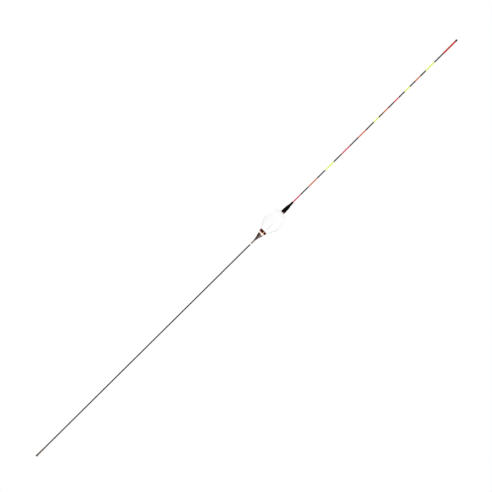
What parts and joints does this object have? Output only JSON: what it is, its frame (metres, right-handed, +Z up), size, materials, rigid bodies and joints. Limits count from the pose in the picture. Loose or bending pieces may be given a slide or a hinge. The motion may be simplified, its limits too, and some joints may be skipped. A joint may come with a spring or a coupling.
{
  "type": "fishing float",
  "caption": "Slim competition fishing float: a stout pearl body on a long thin carbon foot, with a long banded tail that pulls out of the body by its ferrule.",
  "frame": {"origin": "centre of the flat face at the bottom end of the foot", "axes": "+Z up the float's own axis, from the foot to the tip of the tail; X and Y are alike, because every piece is round"},
  "size_m": [0.0208, 0.0208, 0.5924],
  "materials": {
    "pearl_lacquer": "gloss",
    "carbon_rod": "satin",
    "moulded_black": "satin",
    "brown_lacquer": "gloss",
    "gold_trim": "satin",
    "tan_thread": "satin",
    "pale_paint": "satin",
    "painted_tail": "satin",
    "fluoro_red": "satin",
    "glass_tube": "satin",
    "socket_plastic": "matte"
  },
  "bodies": {
    "float": {"foot_end_cap": "carbon_rod", "foot_end_winding": "tan_thread", "foot_rod": "carbon_rod", "pale_band": "pale_paint", "foot_winding": "tan_thread", "foot_cone": "brown_lacquer", "gold_band": "gold_trim", "lower_collar": "brown_lacquer", "float_body": "pearl_lacquer", "core_tube": "glass_tube", "tail_socket": "socket_plastic", "upper_collar": "brown_lacquer"},
    "tail": {"tail_ferrule": "moulded_black", "tail_rod": "painted_tail", "sight_sleeve": "fluoro_red", "tip_bead": "moulded_black"}
  },
  "joints": [
    {"name": "tail_pull", "type": "slide", "parent": "float", "child": "tail", "axis": [0, 0, 1], "range_m": [0, 0.018]}
  ]
}
